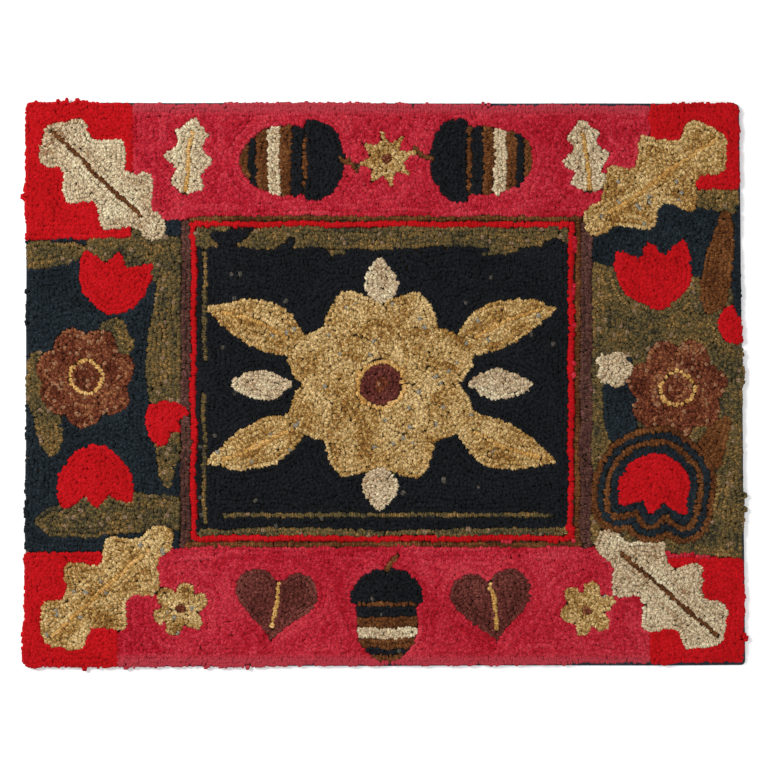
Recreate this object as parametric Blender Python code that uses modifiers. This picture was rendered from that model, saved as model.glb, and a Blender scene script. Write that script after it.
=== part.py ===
"""A hooked rug lying flat: a burlap cloth hooked all over with wool loops, and the cotton tape bound on its back.

Metres, +Z up, +X along the length. The origin is the middle of the underside.
"""

from collections import namedtuple
from math import atan2, cos, hypot, pi, sin

import bmesh
import bpy

# Driving dimensions
LENGTH = 0.910
WIDTH = 0.714
THICKNESS = 0.0090  # floor to the top of the loops
EDGE_ROUND = 0.0024  # how far the outermost loops lean over the edge
TAPE_THICKNESS = 0.0014  # two layers of cotton, pressed flat
TAPE_WIDTH = 0.032
TAPE_CORNER = 0.006
GAP = 0.0003

# The hooked edge wanders by a row of loops or so, and ripples from loop to loop
OUTLINE_STEP = 0.009
RIPPLE = 0.0005
RIPPLE_LENGTH = 0.031
ARC_STEPS = 4

# A place along a side, from 0 at its first corner to 1 at its last going anticlockwise,
# and how far the hooked edge stands outside the plain rectangle there, in millimetres
Place = namedtuple("Place", "at out_mm")
Corner = namedtuple("Corner", "radius x_out_mm y_out_mm")

SOUTH = (
    Place(0.00, 1.6),
    Place(0.12, 1.4),
    Place(0.22, 0.2),
    Place(0.31, 1.1),
    Place(0.40, -0.8),
    Place(0.59, -1.2),
    Place(0.74, -1.6),
    Place(0.78, -4.0),
    Place(0.85, -4.2),
    Place(0.89, -2.2),
    Place(0.92, -5.4),
    Place(1.00, -5.4),
)
EAST = (
    Place(0.00, 0.2),
    Place(0.12, 1.4),
    Place(0.22, -1.2),
    Place(0.28, 2.8),
    Place(0.34, -0.6),
    Place(0.47, -1.2),
    Place(0.52, 2.4),
    Place(0.56, -0.6),
    Place(0.65, -2.4),
    Place(0.78, -5.2),
    Place(0.90, -4.9),
    Place(1.00, -5.6),
)
NORTH = (
    Place(0.00, -0.4),
    Place(0.05, 0.9),
    Place(0.18, -3.4),
    Place(0.25, -1.4),
    Place(0.33, -2.9),
    Place(0.47, -0.4),
    Place(0.57, 0.9),
    Place(0.70, 0.8),
    Place(0.76, -1.5),
    Place(0.85, -0.2),
    Place(0.93, 2.3),
    Place(1.00, 1.6),
)
WEST = (
    Place(0.00, 0.3),
    Place(0.09, 0.0),
    Place(0.17, 1.6),
    Place(0.23, -0.2),
    Place(0.32, -1.0),
    Place(0.37, 0.4),
    Place(0.43, -1.2),
    Place(0.60, 0.0),
    Place(0.72, 1.8),
    Place(0.90, 2.0),
    Place(0.96, 5.0),
    Place(1.00, 3.6),
)
# The hooked cloth's corner at the end of each side
CORNER_RADII = {"south": 0.006, "east": 0.013, "north": 0.005, "west": 0.005}

# The tape's outer corners, past the plain rectangle's: it is a little out of square
TAPE_CORNERS = (
    Corner(TAPE_CORNER, 0.3, 0.8),
    Corner(TAPE_CORNER, 3.0, -1.1),
    Corner(TAPE_CORNER, -4.7, -0.2),
    Corner(TAPE_CORNER, -0.3, 1.0),
)

ARTICLE = "Hooked rug"
TOOLS = "Cutters"


def clear_scene():
    for thing in list(bpy.data.objects):
        bpy.data.objects.remove(thing, do_unlink=True)


def collection(name):
    made = bpy.data.collections.new(name)
    bpy.context.scene.collection.children.link(made)
    return made


def material(name, colour, roughness):
    made = bpy.data.materials.new(name)
    made.use_nodes = True
    shader = made.node_tree.nodes["Principled BSDF"]
    shader.inputs["Base Color"].default_value = (*colour, 1)
    shader.inputs["Roughness"].default_value = roughness
    shader.inputs["Metallic"].default_value = 0
    return made


def out_at(places, at):
    """How far a side's edge stands out at a share of its length, eased from place to place."""
    for first, last in zip(places, places[1:]):
        if at <= last.at:
            share = (at - first.at) / (last.at - first.at)
            eased = (1 - cos(pi * share)) / 2
            return (first.out_mm + (last.out_mm - first.out_mm) * eased) / 1000
    return places[-1].out_mm / 1000


def ripple(along):
    """The edge's small waves, for a distance along the outline."""
    turns = 2 * pi * along / RIPPLE_LENGTH
    return RIPPLE * (sin(turns) + 0.6 * sin(0.63 * turns + 1.3))


def side_points(start, end, outward, places, trim_start, trim_end, along):
    """Points of one side between its two rounded corners, each pushed out or in by its table."""
    length = hypot(end[0] - start[0], end[1] - start[1])
    direction = ((end[0] - start[0]) / length, (end[1] - start[1]) / length)
    count = round((length - trim_start - trim_end) / OUTLINE_STEP)
    points = []
    for step in range(count + 1):
        distance = trim_start + (length - trim_start - trim_end) * step / count
        out = out_at(places, distance / length) + ripple(along + distance)
        x = start[0] + direction[0] * distance + outward[0] * out
        y = start[1] + direction[1] * distance + outward[1] * out
        points.append((x, y))
    return points


def hooked_outline():
    """The uneven outline of the loops, anticlockwise from the south-west corner."""
    x, y = LENGTH / 2, WIDTH / 2
    corners = [(-x, -y), (x, -y), (x, y), (-x, y)]
    outward = [(0, -1), (1, 0), (0, 1), (-1, 0)]
    tables = [SOUTH, EAST, NORTH, WEST]
    radii = list(CORNER_RADII.values())
    outline = []
    along = 0
    for side, places in enumerate(tables):
        start, end = corners[side], corners[(side + 1) % 4]
        following = (side + 1) % 4
        points = side_points(start, end, outward[side], places, radii[side - 1], radii[side], along)
        along += hypot(end[0] - start[0], end[1] - start[1])
        outline += points
        # The corner's arc, pushed out by a mix of what the two sides say
        centre_x = end[0] - radii[side] * (outward[side][0] + outward[following][0])
        centre_y = end[1] - radii[side] * (outward[side][1] + outward[following][1])
        turn = atan2(outward[side][1], outward[side][0])
        push = (places[-1].out_mm / 1000, tables[following][0].out_mm / 1000)
        for step in range(1, ARC_STEPS):
            angle = pi / 2 * step / ARC_STEPS
            reach = radii[side] + push[0] * cos(angle) ** 2 + push[1] * sin(angle) ** 2
            outline.append((centre_x + reach * cos(turn + angle), centre_y + reach * sin(turn + angle)))
    return outline


def tape_corner_points():
    """The tape's four outer corners, anticlockwise from the south-west one."""
    points = []
    for corner, (side_x, side_y) in zip(TAPE_CORNERS, ((-1, -1), (1, -1), (1, 1), (-1, 1))):
        x = side_x * (LENGTH / 2 + corner.x_out_mm / 1000)
        y = side_y * (WIDTH / 2 + corner.y_out_mm / 1000)
        points.append((x, y))
    return points


def tape_outline(inset, radius):
    """The tape's outer edge moved inwards, with rounded corners."""
    outline = []
    for number, (x, y) in enumerate(tape_corner_points()):
        side_x = 1 if x > 0 else -1
        side_y = 1 if y > 0 else -1
        centre_x = x - side_x * (inset + radius)
        centre_y = y - side_y * (inset + radius)
        start = pi + number * pi / 2
        for step in range(ARC_STEPS + 1):
            angle = start + pi / 2 * step / ARC_STEPS
            outline.append((centre_x + radius * cos(angle), centre_y + radius * sin(angle)))
    return outline


def middle_of(outlines):
    """The middle of the box around some outlines."""
    xs = [x for outline in outlines for x, y in outline]
    ys = [y for outline in outlines for x, y in outline]
    return (min(xs) + max(xs)) / 2, (min(ys) + max(ys)) / 2


def slab(name, outlines, low, high, centre, home):
    """A flat closed solid from a filled 2D curve: the first outline, less any others inside it."""
    curve = bpy.data.curves.new(name, "CURVE")
    curve.dimensions = "2D"
    curve.fill_mode = "BOTH"
    curve.extrude = (high - low) / 2
    for outline in outlines:
        spline = curve.splines.new("POLY")
        spline.points.add(len(outline) - 1)
        for point, (x, y) in zip(spline.points, outline):
            point.co = (x - centre[0], y - centre[1], 0, 1)
        spline.use_cyclic_u = True
    shape = bpy.data.objects.new(name + "_outline", curve)
    shape.location.z = (low + high) / 2
    home.objects.link(shape)
    bpy.context.view_layer.update()
    mesh = bpy.data.meshes.new_from_object(shape.evaluated_get(bpy.context.evaluated_depsgraph_get()))
    mesh.name = name
    weld = bmesh.new()
    weld.from_mesh(mesh)
    bmesh.ops.remove_doubles(weld, verts=weld.verts, dist=0.00001)
    weld.to_mesh(mesh)
    weld.free()
    piece = bpy.data.objects.new(name, mesh)
    piece.matrix_world = shape.matrix_world
    home.objects.link(piece)
    bpy.data.objects.remove(shape)
    return piece


def join_flat_faces(piece):
    """Makes each flat side one face, so that a bevel isn't held back by the triangles across it."""
    sides = bmesh.new()
    sides.from_mesh(piece.data)
    bmesh.ops.dissolve_limit(sides, angle_limit=pi / 360, verts=sides.verts, edges=sides.edges)
    sides.to_mesh(piece.data)
    sides.free()


def round_edges(piece, width, segments):
    bevel = piece.modifiers.new("Rounded edge", "BEVEL")
    bevel.width = width
    bevel.segments = segments
    bevel.limit_method = "ANGLE"
    bevel.angle_limit = pi / 3.5


def cut(piece, cutter):
    cutter.hide_render = True
    cutter.display_type = "WIRE"
    boolean = piece.modifiers.new("Room for the tape", "BOOLEAN")
    boolean.operation = "DIFFERENCE"
    boolean.solver = "EXACT"
    boolean.object = cutter


def hooked_mat(centre, home, tools):
    """The hooked cloth, whose hem lies on top of the tape all round."""
    mat = slab("hooked_mat", [hooked_outline()], 0, THICKNESS, centre, home)
    join_flat_faces(mat)
    round_edges(mat, EDGE_ROUND, 2)
    past = tape_outline(-0.02, TAPE_CORNER)
    inner = tape_outline(TAPE_WIDTH + GAP, TAPE_CORNER)
    step = slab("tape_room", [past, inner], -0.004, TAPE_THICKNESS + GAP, centre, tools)
    cut(mat, step)
    mat.data.materials.append(material("Crimson wool loops", (0.50, 0.035, 0.07), 0.95))
    return mat


def binding(centre, home):
    """The tape round the back, which shows past the loops along the south-east edges."""
    outer = tape_outline(0, TAPE_CORNER)
    inner = tape_outline(TAPE_WIDTH, TAPE_CORNER)
    tape = slab("binding", [outer, inner], 0, TAPE_THICKNESS, centre, home)
    round_edges(tape, TAPE_THICKNESS * 0.3, 1)
    tape.data.materials.append(material("Slate cotton tape", (0.03, 0.045, 0.06), 0.85))
    return tape


clear_scene()
article = collection(ARTICLE)
cutters = collection(TOOLS)
middle = middle_of([hooked_outline(), tape_outline(0, TAPE_CORNER)])
hooked_mat(middle, article, cutters)
binding(middle, article)
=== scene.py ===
from math import cos, hypot, pi, sin

import bpy
import numpy as np
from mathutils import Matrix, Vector


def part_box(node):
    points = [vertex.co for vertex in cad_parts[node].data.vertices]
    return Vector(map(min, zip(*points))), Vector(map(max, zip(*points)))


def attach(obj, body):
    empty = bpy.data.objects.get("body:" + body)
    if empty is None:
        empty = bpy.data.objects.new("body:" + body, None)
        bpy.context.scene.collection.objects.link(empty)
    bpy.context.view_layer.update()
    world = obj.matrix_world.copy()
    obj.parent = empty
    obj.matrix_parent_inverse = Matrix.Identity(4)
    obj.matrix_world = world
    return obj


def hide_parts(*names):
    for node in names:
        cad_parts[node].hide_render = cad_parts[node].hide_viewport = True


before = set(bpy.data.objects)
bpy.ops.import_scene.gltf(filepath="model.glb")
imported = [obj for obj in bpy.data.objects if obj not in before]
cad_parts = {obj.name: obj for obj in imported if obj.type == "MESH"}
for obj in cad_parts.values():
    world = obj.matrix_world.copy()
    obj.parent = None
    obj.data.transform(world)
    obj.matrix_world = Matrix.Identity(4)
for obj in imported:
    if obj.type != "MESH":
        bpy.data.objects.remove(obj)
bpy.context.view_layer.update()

# ---------------------------------------------------------------------------------------------
# The camera looks straight down on the rug through a long lens, as one does to copy a flat
# textile, with a margin of bare floor all round it.

LENS = 100
SENSOR = 36
VIEW_WIDTH = 0.9755
VIEW_CENTRE = (0.0003, 0.0007)

camera_data = bpy.data.cameras.new("Camera")
camera_data.lens = LENS
camera_data.sensor_width = SENSOR
camera = bpy.data.objects.new("Camera", camera_data)
camera.location = (*VIEW_CENTRE, VIEW_WIDTH * LENS / SENSOR)
bpy.context.scene.collection.objects.link(camera)
bpy.context.scene.camera = camera

# ---------------------------------------------------------------------------------------------
# Floor and lamps: a plain white floor, a big soft lamp over the left side and a weaker one
# opposite, so that the loops throw short soft shadows.

FLOOR_SIZE = 30
FLOOR_DROP = 0.0004
FLOOR_WHITE = (0.90, 0.90, 0.905, 1)
ROOM_LIGHT = 0.58

bpy.ops.object.select_all(action="DESELECT")
bpy.ops.mesh.primitive_plane_add(size=FLOOR_SIZE, location=(0, 0, -FLOOR_DROP))
floor = bpy.context.object
floor.name = "floor"
floor_paint = bpy.data.materials.new("White floor")
floor_paint.use_nodes = True
floor_shader = floor_paint.node_tree.nodes["Principled BSDF"]
floor_shader.inputs["Base Color"].default_value = FLOOR_WHITE
floor_shader.inputs["Roughness"].default_value = 0.9
floor_shader.inputs["Specular IOR Level"].default_value = 0.1
floor.data.materials.append(floor_paint)


def lamp(name, place, size, watts, tint):
    """A square soft lamp that faces the middle of the rug."""
    data = bpy.data.lights.new(name, "AREA")
    data.size = size
    data.energy = watts
    data.color = tint
    made = bpy.data.objects.new(name, data)
    made.location = place
    made.rotation_mode = "QUATERNION"
    made.rotation_quaternion = (-Vector(place)).to_track_quat("-Z", "Y")
    bpy.context.scene.collection.objects.link(made)


lamp("key_lamp", (-1.8, 0.95, 2.3), 1.2, 96, (1.0, 0.985, 0.96))
lamp("fill_lamp", (1.9, -1.4, 2.2), 1.8, 40, (0.97, 0.985, 1.0))

world = bpy.data.worlds.new("Soft room light")
bpy.context.scene.world = world
world.use_nodes = True
world.node_tree.nodes["Background"].inputs["Color"].default_value = (1, 1, 1, 1)
world.node_tree.nodes["Background"].inputs["Strength"].default_value = ROOM_LIGHT
bpy.context.scene.view_settings.view_transform = "Standard"

# ---------------------------------------------------------------------------------------------
# The foundation is a piece of jute burlap from an opened feed sack, in plain weave. It is what
# the wool is hooked through; its hem lies on the tape, so it steps up there all round.

BURLAP_THICKNESS = 0.0008
BURLAP_INSET = 0.0022
STITCH_DEPTH = 0.0008
TAPE_STEP = 0.0017
STEP_RUN = 0.005
WEAVE = 0.0021  # from one pair of threads to the next
TAPE_RIM = 0.02  # the tape's inner corners lie further in than this from the mat's sides
WALL_TOP = (0.0065, 0.0080)  # the mat's solid has its widest outline between these heights
GRID_X = 76
GRID_Y = 60

mat_low, mat_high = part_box("hooked_mat")
tape_points = np.array([v.co for v in bpy.data.objects["binding"].data.vertices])
inner_zone = (mat_high.x - TAPE_RIM, mat_high.y - TAPE_RIM, 1)
tape_inner = tape_points[(np.abs(tape_points) < inner_zone).all(1)]
inner_left, inner_bottom, _ = tape_inner.min(0)
inner_right, inner_top, _ = tape_inner.max(0)


def hooked_edge():
    """The uneven outline of the hooked cloth, anticlockwise, from the top of its solid's wall."""
    points = np.array([v.co for v in bpy.data.objects["hooked_mat"].data.vertices])
    wall = points[(points[:, 2] > WALL_TOP[0]) & (points[:, 2] < WALL_TOP[1]), :2]
    wall = np.unique(wall.round(5), axis=0)
    return wall[np.argsort(np.arctan2(wall[:, 1], wall[:, 0]))]


def back_height(x, y):
    """How high the cloth's back is: on the floor in the middle, and on the tape round it."""
    past_x = np.maximum(x - inner_right, inner_left - x)
    past_y = np.maximum(y - inner_top, inner_bottom - y)
    share = np.clip(np.maximum(past_x, past_y) / STEP_RUN + 1, 0, 1)
    return TAPE_STEP * share * share * (3 - 2 * share)


edge_points = hooked_edge()
edge_angles = np.arctan2(edge_points[:, 1], edge_points[:, 0])
edge_radii = np.hypot(edge_points[:, 0], edge_points[:, 1])

bpy.ops.object.select_all(action="DESELECT")
bpy.ops.mesh.primitive_grid_add(x_subdivisions=GRID_X, y_subdivisions=GRID_Y, size=2)
foundation = bpy.context.object
foundation.name = "burlap_foundation"
grid = np.array([v.co for v in foundation.data.vertices])
half_x = mat_high.x - BURLAP_INSET
half_y = mat_high.y - BURLAP_INSET
flat_x = grid[:, 0] * half_x
flat_y = grid[:, 1] * half_y
# Every point slides along its ray from the middle until the outermost ones meet the outline
outness = np.maximum(np.abs(grid[:, 0]), np.abs(grid[:, 1]))
to_corner = np.hypot(flat_x, flat_y) / np.maximum(outness, 0.001)
outline_here = np.interp(np.arctan2(flat_y, flat_x), edge_angles, edge_radii, period=2 * pi)
slide = 1 + ((outline_here - BURLAP_INSET) / np.maximum(to_corner, 0.001) - 1) * outness**3
flat_x *= slide
flat_y *= slide
grid[:, 0] = flat_x
grid[:, 1] = flat_y
grid[:, 2] = STITCH_DEPTH + back_height(flat_x, flat_y)
foundation.data.vertices.foreach_set("co", grid.astype(np.float32).ravel())
thicken = foundation.modifiers.new("Cloth thickness", "SOLIDIFY")
thicken.thickness = BURLAP_THICKNESS
thicken.offset = 1
bpy.ops.object.modifier_apply(modifier=thicken.name)
bpy.ops.object.shade_smooth()


class Recipe:
    """A material's nodes, added and joined by short calls."""

    def __init__(self, name):
        self.material = bpy.data.materials.new(name)
        self.material.use_nodes = True
        self.nodes = self.material.node_tree.nodes
        self.links = self.material.node_tree.links
        self.shader = self.nodes["Principled BSDF"]

    def add(self, kind, inputs=None, **settings):
        node = self.nodes.new("ShaderNode" + kind)
        for name, value in settings.items():
            setattr(node, name, value)
        for name, value in (inputs or {}).items():
            if isinstance(value, bpy.types.NodeSocket):
                self.links.new(value, node.inputs[name])
            else:
                node.inputs[name].default_value = value
        return node

    def maths(self, operation, first, second=0.0, third=0.0):
        node = self.add("Math", {0: first, 1: second, 2: third}, operation=operation)
        return node.outputs[0]

    def noise(self, where, scale, detail=2.0, roughness=0.5):
        inputs = {"Vector": where, "Scale": scale, "Detail": detail, "Roughness": roughness}
        return self.add("TexNoise", inputs).outputs["Fac"]

    def ramp(self, factor, stops):
        node = self.add("ValToRGB", {"Fac": factor})
        elements = node.color_ramp.elements
        while len(elements) < len(stops):
            elements.new(0.5)
        for element, (place, colour) in zip(elements, stops):
            element.position = place
            element.color = (*colour, 1)
        return node.outputs["Color"]

    def times(self, colour, factor):
        """A colour made lighter or darker by a number."""
        return self.add("VectorMath", {0: colour, "Scale": factor}, operation="SCALE").outputs[0]

    def finish(self, colour, height, bump_depth, roughness, **sockets):
        bump = self.add("Bump", {"Height": height, "Strength": 0.8, "Distance": bump_depth})
        self.links.new(colour, self.shader.inputs["Base Color"])
        self.links.new(bump.outputs["Normal"], self.shader.inputs["Normal"])
        self.shader.inputs["Roughness"].default_value = roughness
        for name, value in sockets.items():
            self.shader.inputs[name.replace("_", " ")].default_value = value
        return self.material


def burlap_finish():
    """Old jute: a coarse plain weave of uneven threads, gone brown."""
    recipe = Recipe("Jute burlap")
    place = recipe.add("TexCoord").outputs["Object"]
    axes = recipe.add("SeparateXYZ", {0: place})
    turns = 2 * pi / WEAVE
    across = recipe.maths("SINE", recipe.maths("MULTIPLY", axes.outputs["X"], turns))
    along = recipe.maths("SINE", recipe.maths("MULTIPLY", axes.outputs["Y"], turns))
    weave = recipe.maths("MULTIPLY", across, along)
    slub = recipe.noise(place, 160, 3)
    shades = [(0.25, (0.10, 0.062, 0.030)), (0.5, (0.19, 0.125, 0.062)), (0.8, (0.30, 0.21, 0.115))]
    colour = recipe.ramp(slub, shades)
    shade = recipe.maths("MULTIPLY_ADD", weave, 0.22, 0.85)
    height = recipe.maths("ADD", recipe.maths("MULTIPLY", weave, 0.5), slub)
    return recipe.finish(recipe.times(colour, shade), height, 0.0005, 0.95, Specular_IOR_Level=0.15)


foundation.data.materials.append(burlap_finish())
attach(foundation, "root")
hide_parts("hooked_mat")

# ---------------------------------------------------------------------------------------------
# The drawing on the burlap, which the hooking follows: a framed middle field, bands, corners and
# side panels, with common flower, leaf, acorn, heart and star shapes. Each shape is laid over
# the ones before it. patch says which shape each spot belongs to, and depth how far that spot is
# from the shape's outline.

SPOT = 0.0015
REACH = 0.07  # a shape's outline guides the rows this far outside it
HAND_WOBBLE = 0.0011

spots_x = np.arange(mat_low.x - 0.004, mat_high.x + 0.004, SPOT)
spots_y = np.arange(mat_low.y - 0.004, mat_high.y + 0.004, SPOT)
SPOTS_X, SPOTS_Y = np.meshgrid(spots_x, spots_y)
patch = np.zeros(SPOTS_X.shape, int)
depth = np.full(SPOTS_X.shape, 1.0)
patch_wool = ["none"]
single_rows = []


class Shape:
    """How far spots are from an outline, less than nothing inside it, for a window of the cloth."""

    def __init__(self, rows, columns, outside):
        self.rows = rows
        self.columns = columns
        self.outside = outside

    def all_over(self):
        everywhere = np.full(patch.shape, 1.0)
        everywhere[self.rows, self.columns] = self.outside
        return everywhere

    def within(self, other):
        inside_both = np.maximum(self.outside, other.all_over()[self.rows, self.columns])
        return Shape(self.rows, self.columns, inside_both)

    def grown(self, by):
        return Shape(self.rows, self.columns, self.outside - by)


def by_hand(points):
    """Points drawn freehand: each a little off, by an amount that changes slowly over the cloth."""
    points = np.asarray(points, float)
    x, y = points[:, 0], points[:, 1]
    off_x = np.sin(61 * y + 33 * x + 1.1) + 0.7 * np.sin(127 * y - 71 * x)
    off_y = np.sin(57 * x - 29 * y + 0.4) + 0.7 * np.sin(139 * x + 67 * y)
    return points + HAND_WOBBLE * np.stack([off_x, off_y], 1)


def measured(points, closed):
    """A window of spots round some points, with each spot's distance to the line through them."""
    low_x, low_y = points.min(0) - REACH
    high_x, high_y = points.max(0) + REACH
    columns = slice(*np.searchsorted(spots_x, (low_x, high_x)))
    rows = slice(*np.searchsorted(spots_y, (low_y, high_y)))
    x, y = SPOTS_X[rows, columns], SPOTS_Y[rows, columns]
    nearest = np.full(x.shape, 1.0)
    inside = np.zeros(x.shape, bool)
    following = np.roll(points, -1, 0)
    count = len(points) if closed else len(points) - 1
    for (ax, ay), (bx, by) in zip(points[:count], following[:count]):
        run_x, run_y = bx - ax, by - ay
        square = max(run_x**2 + run_y**2, 1e-12)
        share = np.clip(((x - ax) * run_x + (y - ay) * run_y) / square, 0, 1)
        nearest = np.minimum(nearest, (x - ax - share * run_x) ** 2 + (y - ay - share * run_y) ** 2)
        if closed and ay != by:
            inside ^= (y < max(ay, by)) & (y >= min(ay, by)) & (x < ax + (y - ay) * run_x / run_y)
    return rows, columns, np.sqrt(nearest), inside


def filled(points, freehand=True):
    points = by_hand(points) if freehand else np.asarray(points, float)
    rows, columns, nearest, inside = measured(points, True)
    return Shape(rows, columns, np.where(inside, -nearest, nearest))


def line(points, width):
    rows, columns, nearest, _ = measured(by_hand(points), False)
    return Shape(rows, columns, nearest - width / 2)


def hook_along(wool, points, width):
    """A thin line, hooked as a single row of loops."""
    lay(wool, line(points, width))
    single_rows.append((by_hand(points), len(patch_wool) - 1))


def joined(*shapes):
    """One shape from several that overlap."""
    rows = slice(min(s.rows.start for s in shapes), max(s.rows.stop for s in shapes))
    columns = slice(min(s.columns.start for s in shapes), max(s.columns.stop for s in shapes))
    nearest = np.minimum.reduce([s.all_over() for s in shapes])
    return Shape(rows, columns, nearest[rows, columns])


def lay(wool, shape):
    """Gives a shape to a wool, over whatever was drawn there."""
    patch_wool.append(wool)
    window = shape.rows, shape.columns
    inside = shape.outside < 0
    patch[window] = np.where(inside, len(patch_wool) - 1, patch[window])
    depth[window] = np.where(inside, -shape.outside, np.minimum(depth[window], shape.outside))


def placed(points, at, turn, size=1.0):
    points = np.asarray(points, float) * size
    x = at[0] + points[:, 0] * cos(turn) - points[:, 1] * sin(turn)
    y = at[1] + points[:, 0] * sin(turn) + points[:, 1] * cos(turn)
    return np.stack([x, y], 1)


def round_outline(at, radius, turn=0.0, count=40, squash=1.0):
    """A closed outline from a radius, or from a function of the angle that gives one."""
    angles = np.linspace(0, 2 * pi, count, endpoint=False)
    radii = radius(angles) if callable(radius) else radius
    return placed(np.stack([radii * np.cos(angles), squash * radii * np.sin(angles)], 1), at, turn)


def long_outline(at, length, half_width, turn, bend=0.0, count=18):
    """A closed outline along a bent axis, from a function that gives half its width."""
    share = np.linspace(0, 1, count)
    middle = bend * length * 4 * share * (1 - share)
    half = half_width(share)
    upper = np.stack([share * length, middle + half], 1)
    lower = np.stack([share * length, middle - half], 1)[::-1][1:-1]
    return placed(np.concatenate([upper, lower]), at, turn)


def straight(start, end, count=14):
    """Points along a line, so that it can be drawn freehand."""
    share = np.linspace(0, 1, count)[:, None]
    return np.asarray(start) * (1 - share) + np.asarray(end) * share


def box_outline(left, right, bottom, top, count=14):
    corners = [(left, bottom), (right, bottom), (right, top), (left, top)]
    return np.concatenate([straight(a, b, count)[:-1] for a, b in zip(corners, corners[1:] + corners[:1])])


def leaf(at, length, width, turn, bend=0.0):
    half = lambda share: width / 2 * np.sin(pi * share) ** 0.9 * (1.12 - 0.3 * share)
    return filled(long_outline(at, length, half, turn, bend))


def petal(at, length, width, turn):
    half = lambda share: width / 2 * np.sin(pi * share) ** 0.75
    return filled(long_outline(at, length, half, turn))


def oak_leaf(at, length, width, turn, lobes=3.5):
    lobe = lambda share: 0.80 + 0.24 * np.cos(2 * pi * (lobes * share - 0.42))
    half = lambda share: width / 2 * np.sin(pi * share**0.85) ** 0.6 * lobe(share)
    return filled(long_outline(at, length, half, turn, count=46))


def daisy(at, outer, inner, petals, turn=0.0):
    radius = lambda angles: inner + (outer - inner) * np.abs(np.cos(petals * angles / 2)) ** 0.7
    return filled(round_outline(at, radius, turn, 12 * petals))


def disc(at, radius, squash=1.0):
    return filled(round_outline(at, radius, squash=squash))


def star(at, outer, inner, points, turn=0.0):
    radius = lambda angles: np.where(np.arange(len(angles)) % 2 == 0, outer, inner)
    return filled(round_outline(at, radius, turn, 2 * points))


def heart(at, size, turn):
    t = np.linspace(0, 2 * pi, 40, endpoint=False)
    y = (13 * np.cos(t) - 5 * np.cos(2 * t) - 2 * np.cos(3 * t) - np.cos(4 * t)) / 16
    return filled(placed(np.stack([np.sin(t) ** 3, y + 0.1], 1), at, turn, size / 2))


def cloud(at, length, width, turn, seed):
    """A free-form patch, as where one yarn ran out and another was taken."""
    waves = [*zip((2, 3, 5), np.random.default_rng(seed).uniform(0, 2 * pi, 3))]
    radius = lambda angles: length / 2 * (1 + sum(0.25 / k * np.cos(k * angles + p) for k, p in waves))
    return filled(round_outline(at, radius, turn, squash=width / length))


def vein(wool, at, length, turn, bend=0.0, start=0.05, stop=0.82, width=0.0052):
    share = np.linspace(start, stop, 12)
    middle = np.stack([share * length, bend * length * 4 * share * (1 - share)], 1)
    hook_along(wool, placed(middle, at, turn), width)


def tulip(at, size, turn):
    """Three petals that spread from a round cup."""
    parts = [round_outline((0.24 * size, 0), 0.21 * size, squash=1.24)]
    for length, half_width, spread in ((1, 0.24, 0.50), (1, 0.24, -0.50), (0.92, 0.23, 0)):
        half = lambda share: half_width * size * np.sin(pi * share) ** 0.9
        parts.append(long_outline((0, 0), length * size, half, spread))
    return joined(*(filled(placed(part, at, turn)) for part in parts))


def acorn(at, size, turn):
    """A nut in stripes, with its tip along +X before it is turned, under a dark cap."""
    t = np.linspace(-pi / 2, pi / 2, 18)
    nut = [*zip(0.62 * np.cos(t) ** 0.8, 0.40 * np.sin(t)), (-0.30, 0.36), (-0.34, 0.0), (-0.30, -0.36)]
    body = filled(placed(nut, at, turn, size))
    lay("brown", body)
    bulge = 0.03
    for start, stop, wool in ((-0.10, 0.03, "black"), (0.16, 0.30, "cream"), (0.42, 0.50, "black")):
        near, far = (start + bulge, 0), (stop + bulge, 0)
        stripe = [(start, -0.6), (stop, -0.6), far, (stop, 0.6), (start, 0.6), near]
        lay(wool, filled(placed(stripe, at, turn, size)).within(body))
    t = np.linspace(pi / 2, 3 * pi / 2, 14)
    cap = [*zip(-0.20 + 0.36 * np.cos(t), 0.47 * np.sin(t)), (-0.12, -0.47), (-0.14, 0.0), (-0.12, 0.47)]
    lay("black", filled(placed(cap, at, turn, size)))
    stalk = [(-0.52, 0.0), (-0.60, 0.02), (-0.67, 0.06), (-0.72, 0.13)]
    hook_along("brown", placed(stalk, at, turn, size), 0.0070)


def rust_bloom(at, size):
    lay("rust", daisy(at, size / 2, 0.40 * size, 7, 0.2))
    lay("gold", disc(at, 0.18 * size))
    lay("rust", disc(at, 0.14 * size))


# The ground: crimson bands along the long sides, and a scarlet block at each corner
LEFT, RIGHT, BOTTOM, TOP = mat_low.x - 0.01, mat_high.x + 0.01, mat_low.y - 0.01, mat_high.y + 0.01
lay("crimson", filled([(LEFT, BOTTOM), (RIGHT, BOTTOM), (RIGHT, TOP), (LEFT, TOP)], False))
for x, y, corner_x, corner_y in (
    (-0.319, 0.184, LEFT, TOP),
    (0.337, 0.247, RIGHT, TOP),
    (-0.337, -0.213, LEFT, BOTTOM),
    (0.337, -0.221, RIGHT, BOTTOM),
):
    lay("scarlet", filled([(x, y), (corner_x, y), (corner_x, corner_y), (x, corner_y)]))

# The side panels: near-black with olive clouds on the left, olive with dark clouds on the right
left_panel = filled(
    [(LEFT, -0.212), (-0.257, -0.208), (-0.257, 0.212), (-0.318, 0.200), (-0.322, 0.186), (LEFT, 0.184)]
)
lay("navy", left_panel)
for at, length, width, turn, seed in (
    ((-0.300, 0.165), 0.20, 0.055, -0.15, 1),
    ((-0.275, 0.020), 0.30, 0.045, 1.60, 2),
    ((-0.335, -0.165), 0.20, 0.060, 0.10, 3),
    ((-0.430, -0.020), 0.12, 0.050, 1.70, 4),
    ((-0.425, 0.165), 0.09, 0.035, 0.00, 5),
    ((-0.340, 0.055), 0.05, 0.050, 0.40, 6),
):
    lay("olive", cloud(at, length, width, turn, seed).within(left_panel))
right_panel = filled(
    [(0.245, -0.205), (RIGHT, -0.222), (RIGHT, 0.247), (0.336, 0.245), (0.334, 0.212), (0.245, 0.211)]
)
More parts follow.
